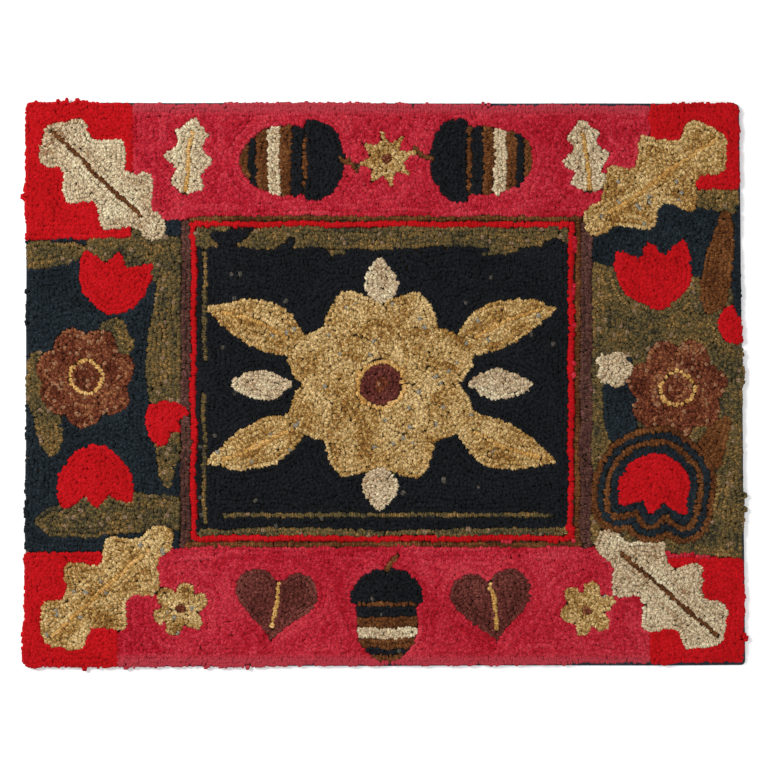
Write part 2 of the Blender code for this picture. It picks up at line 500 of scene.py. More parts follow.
lay("olive", right_panel)
for wool, at, length, width, turn, seed in (
    ("navy", (0.345, 0.185), 0.24, 0.100, 0.00, 11),
    ("brown", (0.425, 0.150), 0.13, 0.040, 1.50, 12),
    ("navy", (0.452, 0.130), 0.16, 0.022, 1.57, 13),
    ("navy", (0.300, -0.030), 0.14, 0.045, 1.50, 14),
    ("brown", (0.405, -0.095), 0.12, 0.040, 0.90, 15),
):
    lay(wool, cloud(at, length, width, turn, seed).within(right_panel))

# The frame of the middle field: strips of dull plum and brown, a scarlet line, then black and olive
lay("dusk", line(straight((-0.2515, -0.202), (-0.2500, 0.206)), 0.011))
hook_along("brown", straight((0.2465, 0.206), (0.2450, -0.202)), 0.0055)
lay("dusk", line(straight((0.2570, 0.206), (0.2560, -0.202)), 0.0145))
hook_along("brown", straight((-0.246, 0.2110), (0.250, 0.2105)), 0.0058)
hook_along("brown", straight((-0.246, -0.2025), (0.250, -0.2030)), 0.0058)
around = box_outline(-0.2408, 0.2368, -0.1948, 0.2028, 30)
around = around + np.random.default_rng(5).uniform(-HAND_WOBBLE, HAND_WOBBLE, around.shape)
hook_along("scarlet", np.concatenate([around, around[:1]]), 0.0066)
field = filled(box_outline(-0.2372, 0.2332, -0.1912, 0.1992))
lay("black", field)
top_strip = [(-0.240, 0.210), (0.240, 0.210), (0.240, 0.178), (0.160, 0.172), (0.090, 0.176), (0.000, 0.170)]
top_strip += [(-0.090, 0.174), (-0.150, 0.171), (-0.205, 0.176), (-0.226, 0.172), (-0.240, 0.180)]
lay("olive", filled(top_strip).within(field))
for wool, at, length, width, turn, seed in (
    ("black", (-0.195, 0.187), 0.048, 0.019, 0.0, 21),
    ("black", (-0.172, 0.197), 0.016, 0.008, 0.3, 22),
    ("black", (-0.125, 0.174), 0.030, 0.010, 0.2, 23),
    ("black", (-0.118, 0.182), 0.013, 0.008, 0.0, 24),
    ("black", (0.060, 0.172), 0.040, 0.008, 0.1, 25),
    ("black", (0.215, 0.178), 0.030, 0.012, 0.0, 26),
    ("olive", (0.150, 0.170), 0.050, 0.010, 0.1, 27),
    ("olive", (-0.060, 0.168), 0.024, 0.008, 0.0, 28),
):
    lay(wool, cloud(at, length, width, turn, seed).within(field))
hook_along("olive", straight((-0.2265, 0.168), (-0.2270, 0.030)), 0.0050)
hook_along("olive", straight((-0.2275, -0.010), (-0.2270, -0.176)), 0.0050)
bottom_strip = [(-0.240, -0.182), (-0.120, -0.180), (0.000, -0.1845), (0.120, -0.181), (0.240, -0.182)]
lay("olive", filled([*bottom_strip, (0.240, -0.210), (-0.240, -0.210)]).within(field))
hook_along("olive", straight((-0.200, -0.1655), (0.215, -0.1650)), 0.0062)

# The middle: a double flower of eight petals, with four long leaves and four buds
FLOWER = (-0.004, 0.000)
for side in (1, -1):
    for rise in (1, -1):
        root = (FLOWER[0] + side * 0.085, FLOWER[1] + rise * 0.040)
        turn = rise * 0.40 if side > 0 else pi - rise * 0.40
        bend = 0.05 * side * rise
        lay("tan", leaf(root, 0.150, 0.062, turn, bend))
        vein("gold", root, 0.150, turn, bend, 0.25, 0.86)
for quarter in range(4):
    turn = quarter * pi / 2
    upright = quarter % 2
    root = (FLOWER[0] + 0.11 * cos(turn), FLOWER[1] + 0.10 * sin(turn))
    lay("cream", leaf(root, 0.062 if upright else 0.085, 0.046 if upright else 0.040, turn))
for number in range(8):
    lay("tan", petal(FLOWER, 0.128, 0.098, pi / 8 + number * pi / 4))
for number in range(8):
    lay("tan", petal(FLOWER, 0.082, 0.062, number * pi / 4))
lay("gold", disc(FLOWER, 0.033))
lay("plum", disc(FLOWER, 0.026))
lay("rust", disc(FLOWER, 0.010))

# The upper band: two acorns, a star and two small oak leaves
acorn((-0.112, 0.284), 0.112, pi)
acorn((0.120, 0.284), 0.112, 0)
lay("tan", star((0.004, 0.286), 0.040, 0.019, 8, 0.2))
lay("rust", disc((0.004, 0.286), 0.006))
for side, x in ((1, 0.262), (-1, -0.252)):
    lay("cream", oak_leaf((x, 0.240), 0.098, 0.060, pi / 2 + side * 0.12, 3))
    vein("gold", (x, 0.240), 0.098, pi / 2 + side * 0.12)

# The lower band: an acorn between two hearts and two daisies
acorn((0.004, -0.289), 0.100, -pi / 2)
for side in (1, -1):
    lay("plum", heart((side * 0.138, -0.280), 0.104, side * 0.15))
    stem = [(0, 0.028), (0.002, 0.014), (0.004, 0), (0.002, -0.015), (0, -0.030)]
    hook_along("gold", placed(stem, (side * 0.138, -0.280), side * 0.15), 0.0052)
    lay("tan", daisy((side * 0.258, -0.284), 0.036, 0.020, 6, 0.3))
    lay("rust", disc((side * 0.258, -0.284), 0.0065))

# A large oak leaf across each corner
for wool, at, length, width, turn in (
    ("cream", (-0.428, 0.328), 0.205, 0.105, -0.76),
    ("tan", (0.432, 0.318), 0.215, 0.110, pi + 0.60),
    ("tan", (-0.430, -0.326), 0.215, 0.108, 0.72),
    ("cream", (0.430, -0.326), 0.210, 0.106, pi - 0.72),
):
    lay(wool, oak_leaf(at, length, width, turn))
    vein("brown" if wool == "cream" else "gold", at, length, turn)

# A rust bloom in each side panel, with tulips round it, one of them echoed in brown and black
rust_bloom((-0.378, 0.010), 0.128)
for at, size, turn in (
    ((-0.352, 0.088), 0.088, 1.35),
    ((-0.372, -0.075), 0.092, -1.45),
    ((-0.300, -0.030), 0.055, -0.6),
):
    lay("scarlet", tulip(at, size, turn))
rust_bloom((0.372, -0.005), 0.128)
echoed = tulip((0.352, -0.085), 0.088, -1.75)
for echo, wool in ((0.034, "brown"), (0.026, "navy"), (0.018, "brown"), (0.010, "navy")):
    lay(wool, echoed.grown(echo).within(right_panel))
lay("scarlet", echoed)
for at, size, turn in (((0.352, 0.095), 0.095, 1.75), ((0.432, 0.055), 0.050, 0.9)):
    lay("scarlet", tulip(at, size, turn))
lay("cream", daisy((0.292, 0.020), 0.024, 0.017, 5))

# Beyond the outline there is no cloth
edge_depth = -filled(edge_points, False).all_over()
patch[edge_depth < 0] = 0
depth = np.minimum(depth, np.abs(edge_depth))

# ---------------------------------------------------------------------------------------------
# The rows of hooking. The wool is pulled up through the burlap in rows that follow each shape's
# outline and fill it from the outside in, one loop every few threads of the burlap. A thin line
# is one row. Along the upper and lower edges the loops are finer and stand closer together.

ROW_PITCH = 0.0055
LOOP_PITCH = 0.0045
EDGE_LOOP_PITCH = 0.0035
EDGE_ROWS = 0.0105
OUTLINE_CLEARANCE = 0.0016
CLOSEST = 0.66  # loops nearer than this share of the pitch are left out
WIDEST_GAP = 0.0035
ROW_JITTER = 0.0002  # how far a loop strays from a single row, and from the other rows
LOOSE_JITTER = 0.00038
LOOP_SQUARE = 0.004  # loops are looked up by squares of this size

draw = np.random.default_rng(1907)


def slow(x, y, size, seed):
    """A smooth value from about -1 to 1 that changes over about this size."""
    total = 0
    for turn, phase, bend in np.random.default_rng(seed).uniform(0, 2 * pi, (4, 3)):
        stretch = 2 * pi / size * (0.75 + 0.08 * phase)
        wave = np.sin(0.6 * stretch * (y * cos(bend) - x * sin(bend)) + phase)
        total = total + np.sin(stretch * (x * cos(turn) + y * sin(turn)) + phase + 1.4 * wave)
    return total / 2.6


def spot_at(x, y):
    column = np.clip(((x - spots_x[0]) / SPOT + 0.5).astype(int), 0, len(spots_x) - 1)
    row = np.clip(((y - spots_y[0]) / SPOT + 0.5).astype(int), 0, len(spots_y) - 1)
    return row, column


def pitch_at(x, y):
    """How far apart loops stand along a row."""
    fine = (edge_depth[spot_at(x, y)] < EDGE_ROWS) & (np.abs(y) > mat_high.y - 2 * EDGE_ROWS)
    return np.where(fine, EDGE_LOOP_PITCH, LOOP_PITCH)


def contour_lines(steps):
    """Lines where a field over the spots is a whole number, each as a chain of points."""
    tall, wide = steps.shape
    number = np.arange(tall * wide).reshape(tall, wide)
    a, b = number[:-1, :-1].ravel(), number[:-1, 1:].ravel()
    c, d = number[1:, 1:].ravel(), number[1:, :-1].ravel()
    corners = np.concatenate([np.stack([a, b, c], 1), np.stack([a, c, d], 1)])
    values = steps.ravel()[corners]
    level = np.floor(values.max(1))
    crossed = (values.min(1) < level) & (level >= 0)
    corners, values, level = corners[crossed], values[crossed], level[crossed, None]
    next_corners, next_values = np.roll(corners, -1, 1), np.roll(values, -1, 1)
    cut = (values >= level) != (next_values >= level)
    share = (level - values) / np.where(cut, next_values - values, 1)
    x = spots_x[corners % wide] * (1 - share) + spots_x[next_corners % wide] * share
    y = spots_y[corners // wide] * (1 - share) + spots_y[next_corners // wide] * share
    side = np.minimum(corners, next_corners) * (tall * wide) + np.maximum(corners, next_corners)
    _, first, knots = np.unique(side[cut], return_index=True, return_inverse=True)
    places = np.stack([x[cut], y[cut]], 1)[first]
    neighbours = [[] for _ in first]
    for one, other in knots.reshape(-1, 2).tolist():
        neighbours[one].append(other)
        neighbours[other].append(one)
    unused = np.ones(len(first), bool)
    lines = []
    ends_first = sorted(range(len(first)), key=lambda knot: len(neighbours[knot]))
    for start in ends_first:
        chain = []
        knot = start
        while knot is not None:
            unused[knot] = False
            chain.append(knot)
            knot = next((other for other in neighbours[knot] if unused[other]), None)
        if len(chain) > 2:
            if start in neighbours[chain[-1]]:
                chain.append(start)
            lines.append(places[chain])
    return lines


def loops_along(points):
    """Even places along a line with the line's direction and a slowly changing dye lot."""
    for _ in range(2):
        points[1:-1] = (points[:-2] + 2 * points[1:-1] + points[2:]) / 4
    step = np.diff(points, axis=0)
    length = np.hypot(step[:, 0], step[:, 1])
    middle = (points[1:] + points[:-1]) / 2
    loops_so_far = np.concatenate([[0], np.cumsum(length / pitch_at(middle[:, 0], middle[:, 1]))])
    count = max(1, round(loops_so_far[-1]))
    at = (np.arange(count) + 0.5) * loops_so_far[-1] / count
    x, y = (np.interp(at, loops_so_far, points[:, axis]) for axis in (0, 1))
    ahead, behind = at + 0.4, at - 0.4
    run_x, run_y = (
        np.interp(ahead, loops_so_far, points[:, axis]) - np.interp(behind, loops_so_far, points[:, axis])
        for axis in (0, 1)
    )
    beginning, other = draw.uniform(0, 2 * pi, 2)
    lot = 0.5 + 0.30 * np.sin(at / 7.5 + beginning) + 0.2 * np.sin(at / 3.1 + other)
    return np.stack([x, y, np.arctan2(run_y, run_x), lot], 1)


# Rows wander a little, and more so deep inside a shape
wander = 0.0005 * slow(SPOTS_X, SPOTS_Y, 0.045, 3) * np.clip(depth / 0.006, 0, 1)
wander += 0.0024 * slow(SPOTS_X, SPOTS_Y, 0.075, 4) * np.clip((depth - 0.009) / 0.015, 0, 1)
rows = [loops_along(points) for points in contour_lines((depth + wander) / ROW_PITCH - 0.5)]
row_of = [0] * len(rows)
for points, number in single_rows:
    rows.append(loops_along(points.copy()))
    row_of.append(number)

placed_loops = np.concatenate(rows)
own_patch = np.repeat(row_of, [len(row) for row in rows])
row_number = np.repeat(np.arange(len(rows)), [len(row) for row in rows])
here = patch[spot_at(placed_loops[:, 0], placed_loops[:, 1])]
single = np.isin(here, [number for _, number in single_rows])
clear = depth[spot_at(placed_loops[:, 0], placed_loops[:, 1])] > OUTLINE_CLEARANCE
keep = (here > 0) & np.where(own_patch > 0, here == own_patch, ~single & clear)
placed_loops, own_patch, row_number = placed_loops[keep], own_patch[keep], row_number[keep]
off = draw.normal(0, 1, (len(placed_loops), 2))
placed_loops[:, :2] += off * np.where(own_patch > 0, ROW_JITTER, LOOSE_JITTER)[:, None]

# A loop is left out where another stands too close
order = np.argsort(own_patch == 0, kind="stable")
nearest_loop = np.full(patch.shape, 1.0)
loops_in_square = {}
kept_loops = []


def room_for(x, y, least):
    """Whether no loop stands nearer than this; if so, one is noted here."""
    column, row = int(x // LOOP_SQUARE), int(y // LOOP_SQUARE)
    for near_column in (column - 1, column, column + 1):
        for near_row in (row - 1, row, row + 1):
            for other_x, other_y in loops_in_square.get((near_column, near_row), ()):
                if (other_x - x) ** 2 + (other_y - y) ** 2 < least * least:
                    return False
    loops_in_square.setdefault((column, row), []).append((x, y))
    return True


least_gaps = CLOSEST * pitch_at(placed_loops[:, 0], placed_loops[:, 1])
for index in order.tolist():
    x, y = placed_loops[index, :2].tolist()
    if room_for(x, y, least_gaps[index]):
        kept_loops.append(index)
placed_loops, own_patch, row_number = placed_loops[kept_loops], own_patch[kept_loops], row_number[kept_loops]

# Odd loops fill what the rows leave bare, turned the way the rows run there
slope_y, slope_x = np.gradient(depth)
tensor = [slope_x * slope_x - slope_y * slope_y, 2 * slope_x * slope_y]
for _ in range(3):
    tensor = [
        (t + np.roll(t, 1, 0) + np.roll(t, -1, 0) + np.roll(t, 1, 1) + np.roll(t, -1, 1)) / 5 for t in tensor
    ]
row_direction = np.arctan2(tensor[1], tensor[0]) / 2 + pi / 2
nearby = range(-3, 4)
loop_row, loop_column = spot_at(placed_loops[:, 0], placed_loops[:, 1])
for step_row in nearby:
    for step_column in nearby:
        row = np.clip(loop_row + step_row, 0, patch.shape[0] - 1)
        column = np.clip(loop_column + step_column, 0, patch.shape[1] - 1)
        away = np.hypot(spots_x[column] - placed_loops[:, 0], spots_y[row] - placed_loops[:, 1])
        np.minimum.at(nearest_loop, (row, column), away)
bare = (nearest_loop > WIDEST_GAP) & (patch > 0) & (depth > OUTLINE_CLEARANCE)
bare_row, bare_column = np.nonzero(bare)
barest_first = np.argsort(-np.minimum(nearest_loop[bare], 0.006) - 0.2 * depth[bare], kind="stable")
extra = []
for index in barest_first.tolist():
    row, column = bare_row[index], bare_column[index]
    x, y = float(spots_x[column]), float(spots_y[row])
    if room_for(x, y, WIDEST_GAP):
        extra.append((x, y, row_direction[row, column], 0.5 + 0.4 * draw.uniform(-1, 1)))

# ---------------------------------------------------------------------------------------------
# The crimson wool of the long bands. Each loop is a short arch of plied yarn whose feet go down
# through the burlap; its crown is squashed a little by its neighbours. The crimson has faded
# along the two long edges. The other wools are hooked in the same way.

LOOP_TOP = 0.0085
EDGE_LOOP_TOP = 0.0090
HEIGHT_SPREAD = 0.0003
YARN = 0.0021
LOOP_LENGTH = 1.55  # as a share of the loops' pitch
LOOP_WIDTH = 1.40  # as a share of the rows' pitch
LEAN = 0.0005
TILT = 0.20
EDGE_REACH = 0.0045  # loops this near the outline lean in a little
EDGE_LEAN = 0.0010
PULLED_SAG = 0.0012
# Where a loop has been pulled out at the edge, and by how much
PULLED_LOOPS = (
    (0.461, -0.321, 0.0050),
    (0.460, -0.316, 0.0035),
    (0.131, 0.361, 0.0045),
    (0.126, 0.361, 0.0030),
    (-0.412, 0.360, 0.0028),
    (-0.400, 0.360, 0.0036),
    (-0.388, 0.360, 0.0030),
    (-0.460, 0.238, 0.0040),
    (-0.460, 0.115, 0.0024),
    (-0.460, 0.078, 0.0028),
    (0.460, -0.142, 0.0034),
    (0.460, -0.158, 0.0028),
    (-0.380, -0.360, 0.0028),
    (-0.327, -0.360, 0.0032),
    (-0.225, -0.360, 0.0026),
    (-0.175, -0.360, 0.0030),
)
# The yarn's path round the arch, its outward side there, and how wide it is
ARCH = np.array([(0.0, 0.03), (-1.02, 0.66), (-0.78, 1.0), (0.78, 1.0), (1.02, 0.66)])
ARCH_OUT = np.array([(0.0, -1.0), (-0.98, 0.2), (-0.48, 0.88), (0.48, 0.88), (0.98, 0.2)])
ARCH_WIDTH = np.array([0.55, 0.88, 1.0, 1.0, 0.88])
# How far up the pile each part of the arch counts, which sets its painted shade: darkest at the feet
ARCH_PAINTED_SHADE_RISE = np.array([0.0, 0.45, 1.0, 1.0, 0.45])
# A section through the yarn: across, outwards, and how far up the pile it counts for the painted shade, so
# that its sides are darker
SECTION = np.array([(0.0, 0.45, 0.0), (0.5, -0.05, -0.4), (-0.5, -0.05, -0.4)])

loops = np.concatenate([placed_loops, np.array(extra)])
row_number = np.concatenate([row_number, np.full(len(extra), -1)])
own_patch = np.concatenate([own_patch, np.zeros(len(extra), int)])
count = len(loops)
loop_place = loops[:, :2]
loop_lot = loops[:, 3]
loop_spot = spot_at(loops[:, 0], loops[:, 1])
loop_wool = np.array(patch_wool)[patch[loop_spot]]
loop_pitch = pitch_at(loops[:, 0], loops[:, 1])
fine = loop_pitch < LOOP_PITCH
steady = fine | (own_patch > 0) | (edge_depth[loop_spot] < EDGE_REACH)
loop_turn = loops[:, 2] + draw.normal(0, 1, count) * np.where(steady, 0.12, 0.42)
loop_length = LOOP_LENGTH * loop_pitch * draw.uniform(0.80, 1.16, count)
loop_width = ROW_PITCH * LOOP_WIDTH * draw.uniform(0.72, 1.16, count)
# The two reds are hooked closer and trodden flatter than the rest
flat = np.isin(loop_wool, ("crimson", "scarlet"))
loop_width *= 1 + 0.16 * flat
loop_length *= 1 + 0.10 * flat
loop_root = STITCH_DEPTH + BURLAP_THICKNESS + back_height(loops[:, 0], loops[:, 1])
on_tape = back_height(loops[:, 0], loops[:, 1]) / TAPE_STEP
loop_top = LOOP_TOP + (EDGE_LOOP_TOP - LOOP_TOP) * on_tape
loop_top += draw.normal(0, HEIGHT_SPREAD, count) * (1 - 0.6 * flat)
loop_tone = draw.uniform(0, 1, count)
loop_tilt = draw.normal(0, TILT, (count, 2)) * (np.where(steady, 0.6, 1.0) * (1 - 0.6 * flat))[:, None]
loop_lean = draw.normal(0, LEAN, (count, 2))
inward_y, inward_x = np.gradient(edge_depth, SPOT)
near_edge = np.clip(1.6 - edge_depth[loop_spot] / EDGE_REACH, 0, 1)
loop_width *= 1 - 0.18 * near_edge
loop_lean += EDGE_LEAN * near_edge[:, None] * np.stack([inward_x[loop_spot], inward_y[loop_spot]], 1)
for x, y, pulled in PULLED_LOOPS:
    nearest = np.argmin(np.hypot(loops[:, 0] - x, loops[:, 1] - y))
    spot = loop_spot[0][nearest], loop_spot[1][nearest]
    loop_lean[nearest] = -pulled * np.array([inward_x[spot], inward_y[spot]])
    loop_top[nearest] -= PULLED_SAG
    loop_length[nearest] *= 1.25


def closed_faces(vertices, faces):
    """Faces turned to point outwards, from the sign of the volume they close."""
    a, b, c = vertices[faces[:, 0]], vertices[faces[:, 1]], vertices[faces[:, 2]]
    volume = (a * np.cross(b, c)).sum()
    if faces.shape[1] == 4:
        volume += (a * np.cross(c, vertices[faces[:, 3]])).sum()
    return faces if volume > 0 else faces[:, ::-1]


def many(name, vertices, faces, corner_maps, values):
    """One mesh of many small closed things, each with the same faces; vertices are (n, m, 3)."""
    made, each, _ = vertices.shape
    corners = (faces[None] + each * np.arange(made)[:, None, None]).reshape(-1)
    sides = faces.shape[1]
    mesh = bpy.data.meshes.new(name)
    mesh.vertices.add(made * each)
    mesh.vertices.foreach_set("co", vertices.astype(np.float32).ravel())
    mesh.loops.add(len(corners))
    mesh.loops.foreach_set("vertex_index", corners.astype(np.int32))
    mesh.polygons.add(len(corners) // sides)
    mesh.polygons.foreach_set("loop_start", np.arange(0, len(corners), sides, dtype=np.int32))
    mesh.update(calc_edges=True)
    mesh.polygons.foreach_set("use_smooth", np.ones(len(corners) // sides, bool))
    for map_name, places in corner_maps.items():
        mesh.uv_layers.new(name=map_name).data.foreach_set("uv", places.astype(np.float32).ravel())
    for value_name, numbers in values.items():
        kind, field = ("FLOAT", "value") if numbers.shape[-1] != 4 else ("FLOAT_COLOR", "color")
        points = mesh.attributes.new(value_name, kind, "POINT").data
        points.foreach_set(field, numbers.astype(np.float32).ravel())
    mesh.validate()
    piece = bpy.data.objects.new(name, mesh)
    bpy.context.scene.collection.objects.link(piece)
    return piece


def laid_out(made, across, up):
    """A square for each thing on a sheet, parted into across by up oblongs, one for each face."""
    wide = int(np.ceil(np.sqrt(made)))
    number = np.arange(made)
    corner = np.stack([number % wide, number // wide], 1) / wide
    column, row = np.divmod(np.arange(across * up), up)
    low = np.stack([(column + 0.06) / across, (row + 0.06) / up], 1) * 0.92 + 0.04
    high = np.stack([(column + 0.94) / across, (row + 0.94) / up], 1) * 0.92 + 0.04
    low_right = np.stack([high[:, 0], low[:, 1]], 1)
    high_left = np.stack([low[:, 0], high[:, 1]], 1)
    square = np.stack([low, low_right, high, high_left], 1)
    return corner[:, None, None] + square[None] / wide


def hooked_loops(name, wool, flecked=0.0):
    """All the loops of one wool."""
    chosen = np.nonzero(loop_wool == wool)[0]
    made = len(chosen)
    each = lambda values: values[chosen][:, None, None]
    parts, sides = len(ARCH), len(SECTION)
    arch_height = each(loop_top) - each(loop_root) - 0.44 * YARN
    along = ARCH[:, 0, None] * (each(loop_length) / 2 - YARN / 2)
    along = along + ARCH_OUT[:, 0, None] * SECTION[:, 1] * YARN
    up = ARCH[:, 1, None] * arch_height + ARCH_OUT[:, 1, None] * SECTION[:, 1] * YARN
    across = ARCH_WIDTH[:, None] * SECTION[:, 0] * each(loop_width)
    tilted = along * each(loop_tilt[:, 0]) + across * each(loop_tilt[:, 1])
    up = up + np.clip(up / arch_height, 0, 1) * tilted
    turn = each(loop_turn)
    leaning = np.clip(up / arch_height, 0, 1.2) ** 1.5
    x = each(loop_place[:, 0]) + along * np.cos(turn) - across * np.sin(turn)
    y = each(loop_place[:, 1]) + along * np.sin(turn) + across * np.cos(turn)
    x = x + leaning * each(loop_lean[:, 0])
    y = y + leaning * each(loop_lean[:, 1])
    z = each(loop_root) + up
    vertices = np.stack([x, y, z], 3).reshape(made, parts * sides, 3)
    faces = []
    yarn_map = []
    for part in range(parts):
        for side in range(sides):
            this, following = part * sides, (part + 1) % parts * sides
            beside = (side + 1) % sides
            faces.append((this + side, following + side, following + beside, this + beside))
            yarn_map.append([(part, side), (part + 1, side), (part + 1, side + 1), (part, side + 1)])
    faces, yarn_map = np.array(faces), np.array(yarn_map) / (1, sides)
    outward = closed_faces(vertices[0], faces)
    if outward is not faces:
        yarn_map = yarn_map[:, ::-1]
    yarn_map = np.broadcast_to(yarn_map, (made, *yarn_map.shape))
    # Painted shade: each point's height up the pile darkens the yarn at the loops' feet and down their sides
    rise = np.clip(ARCH_PAINTED_SHADE_RISE[:, None] + SECTION[None, :, 2], 0, 1).ravel()
    values = {
        "rise": np.tile(rise, made),
        "tone": np.repeat(loop_tone[chosen], parts * sides),
        "lot": np.repeat(loop_lot[chosen], parts * sides),
        "fleck": np.repeat(draw.uniform(0, 1, made) < flecked, parts * sides).astype(float),
    }
    maps = {"Yarn": yarn_map, "OFBake": laid_out(made, parts, sides)}
    return many(name, vertices, outward, maps, values)


def dyed(red, green, blue):
    """A colour from the 0 to 255 scale of a shade card."""
    return tuple(((v / 255 + 0.055) / 1.055) ** 2.4 if v > 10 else v / 3295 for v in (red, green, blue))


CROSSWISE = 0.45  # the share of loops whose groove runs along the row
FADED = (0.340, 0.349)  # how far from the middle the fading starts, and where it is full


def wool_finish(
    name,
    shades,
    tone_depth,
    cloud_size,
    fleck=(0, 0, 0),
    cloud_share=0.6,
    edge_shade=None,
    root=0.62,
    groove_shade=0.5,
):
    """Wool yarn. Its shades go from the darkest dye lot to the lightest. tone_depth is how much
    strands differ, cloud_size over what distance the dye lot changes and cloud_share how much it
    does, root how light the yarn is at the foot of the pile and down its sides, which is painted
    shade below 1 and painted light above 1, groove_shade how much painted shade darkens it between
    the strands, fleck the shade of the odd loops, and edge_shade what the long edges fade to."""
    recipe = Recipe(name)
    place = recipe.add("TexCoord").outputs["Object"]
    yarn = recipe.add("UVMap", uv_map="Yarn").outputs["UV"]
    values = ("tone", "lot", "rise", "fleck")
    tone, lot, rise, flecked = (recipe.add("Attribute", attribute_name=v).outputs["Fac"] for v in values)
    along, around = (recipe.add("SeparateXYZ", {0: yarn}).outputs[axis] for axis in ("X", "Y"))
    # Each loop shows two strands, one each side of a groove that runs along it or across it;
    # the groove is darkened with painted shade
    chance = recipe.maths("FRACT", recipe.maths("MULTIPLY", tone, 13.7))
    crosswise = recipe.maths("GREATER_THAN", chance, CROSSWISE)
    from_crown = recipe.maths("SUBTRACT", along, 2.5)
    from_ridge = recipe.maths("SUBTRACT", around, recipe.maths("ROUND", around))
    from_ridge = recipe.maths("MULTIPLY", from_ridge, 3.2)
    from_crown = recipe.maths("MULTIPLY", from_crown, 1.7)
    offset = recipe.add("Mix", {0: crosswise, 2: from_ridge, 3: from_crown}).outputs[0]
    wavy = recipe.maths("MULTIPLY_ADD", recipe.noise(place, 260, 1), 0.5, -0.25)
    offset = recipe.maths("ADD", offset, wavy)
    from_groove = recipe.maths("ABSOLUTE", offset)
    groove = recipe.add("MapRange", {"Value": from_groove, "From Min": 0.02, "From Max": 0.30}).outputs[0]
    groove_side = recipe.maths("MULTIPLY", recipe.maths("SIGN", offset), 0.23)
    strand = recipe.maths("MULTIPLY_ADD", tone, 31.7, groove_side)
    strand = recipe.maths("SUBTRACT", recipe.maths("FRACT", strand), 0.5)
    heather = recipe.maths("SUBTRACT", recipe.noise(place, 480, 2, 0.6), 0.5)
    cloud = recipe.noise(place, 1 / cloud_size, 3, 0.6)
    where = recipe.maths("MULTIPLY_ADD", recipe.maths("SUBTRACT", cloud, 0.5), 2.4 * cloud_share, 0.5)
    where = recipe.maths("MULTIPLY_ADD", recipe.maths("SUBTRACT", lot, 0.5), 0.5, where)
    where = recipe.maths("MULTIPLY_ADD", strand, 0.5, where)
    where = recipe.maths("MULTIPLY_ADD", heather, 1.2, where)
    places = np.linspace(0, 1, len(shades))
    colour = recipe.ramp(where, [(stop, dyed(*shade)) for stop, shade in zip(places, shades)])
    if edge_shade:
        axes = recipe.add("SeparateXYZ", {0: place})
        height = recipe.maths("ABSOLUTE", axes.outputs["Y"])
        faded = recipe.add("MapRange", {"Value": height, "From Min": FADED[0], "From Max": FADED[1]})
        blend = {0: faded.outputs[0], 6: colour, 7: (*dyed(*edge_shade), 1)}
        colour = recipe.add("Mix", blend, data_type="RGBA").outputs[2]
    blend = {0: flecked, 6: colour, 7: (*dyed(*fleck), 1)}
    colour = recipe.add("Mix", blend, data_type="RGBA").outputs[2]
    drawn_out = recipe.add("Mapping", {"Vector": yarn, "Scale": (1.6, 9, 1)}).outputs[0]
    fibre = recipe.noise(drawn_out, 2.2, 3, 0.65)
    light = recipe.maths("MULTIPLY_ADD", strand, tone_depth, 1)
    # The yarn's light: strand tone and fibre, with painted shade at the foot of the pile and in the grooves,
    # and painted light at the foot where root is above 1
    for value, more, least in (
        (rise, 1 - root, root),
        (fibre, 0.4, 0.8),
        (groove, 1 - groove_shade, groove_shade),
        (heather, 2.2 * tone_depth, 1),
    ):
        light = recipe.maths("MULTIPLY", light, recipe.maths("MULTIPLY_ADD", value, more, least))
    height = recipe.maths("MULTIPLY_ADD", groove, 1.6, fibre)
    middle = dyed(*shades[len(shades) // 2])
    return recipe.finish(
        recipe.times(colour, light),
        height,
        0.0006,
        0.95,
        Specular_IOR_Level=0.12,
        Sheen_Weight=0.12,
        Sheen_Roughness=0.55,
        Sheen_Tint=(*(min(1, 2.2 * v) for v in middle), 1),
    )


back_shades = {}  # each wool's shade, for the stitches on the back


def hook(name, wool, slot, shades, tone_depth, cloud_size, flecked=0.0, **more):
    """Hooks every loop of a wool, and gives it its finish."""
    piece = hooked_loops(name, wool, flecked)
    finish_name = name.replace("_", " ").capitalize()
    piece.data.materials.append(wool_finish(finish_name, shades, tone_depth, cloud_size, **more))
    back_shades[wool] = dyed(*shades[len(shades) // 2])
    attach(piece, "root")
    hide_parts("hooked_mat")
    return piece


CRIMSON = ((140, 5, 21), (163, 28, 43), (179, 52, 63))
CRIMSON_FADED = (163, 50, 61)
# Root above 1 paints light into the feet of the loops, against the shade that falls between them, and the
# grooves get less painted shade
crimson = hook(
    "crimson_loops",
    "crimson",
    "crimson_wool",
    CRIMSON,
    0.12,
    0.09,
    edge_shade=CRIMSON_FADED,
    root=1.15,
    groove_shade=0.72,
)

# ---------------------------------------------------------------------------------------------
# Scarlet wool: the corner blocks, the line round the middle field, and the tulips. It is plied
# and hooked as the crimson is; its dye is even and has kept its strength.

SCARLET = ((146, 4, 7), (162, 7, 14), (169, 13, 21))
# Painted light at the feet of the loops, stronger than the crimson's, and little painted shade in the
# grooves
scarlet = hook("scarlet_loops", "scarlet", "scarlet_wool", SCARLET, 0.08, 0.12, root=1.6, groove_shade=0.85)

# ---------------------------------------------------------------------------------------------
# Black wool of the middle field and of the acorns' caps and stripes, hooked dense and even. A
# loop here and there has worn grey.

BLACK = ((13, 15, 19), (19, 21, 24), (24, 25, 30))
black = hook("black_loops", "black", "black_wool", BLACK, 0.40, 0.10, flecked=0.004, fleck=(74, 70, 64))

# ---------------------------------------------------------------------------------------------
# Blue-black wool of the side panels: yarn from another lot of the black, hooked in the same
# way, which has faded towards blue.

BLUE_BLACK = ((17, 24, 28), (25, 33, 39), (33, 42, 47))
blue_black = hook("blue_black_loops", "navy", "black_wool", BLUE_BLACK, 0.40, 0.10)

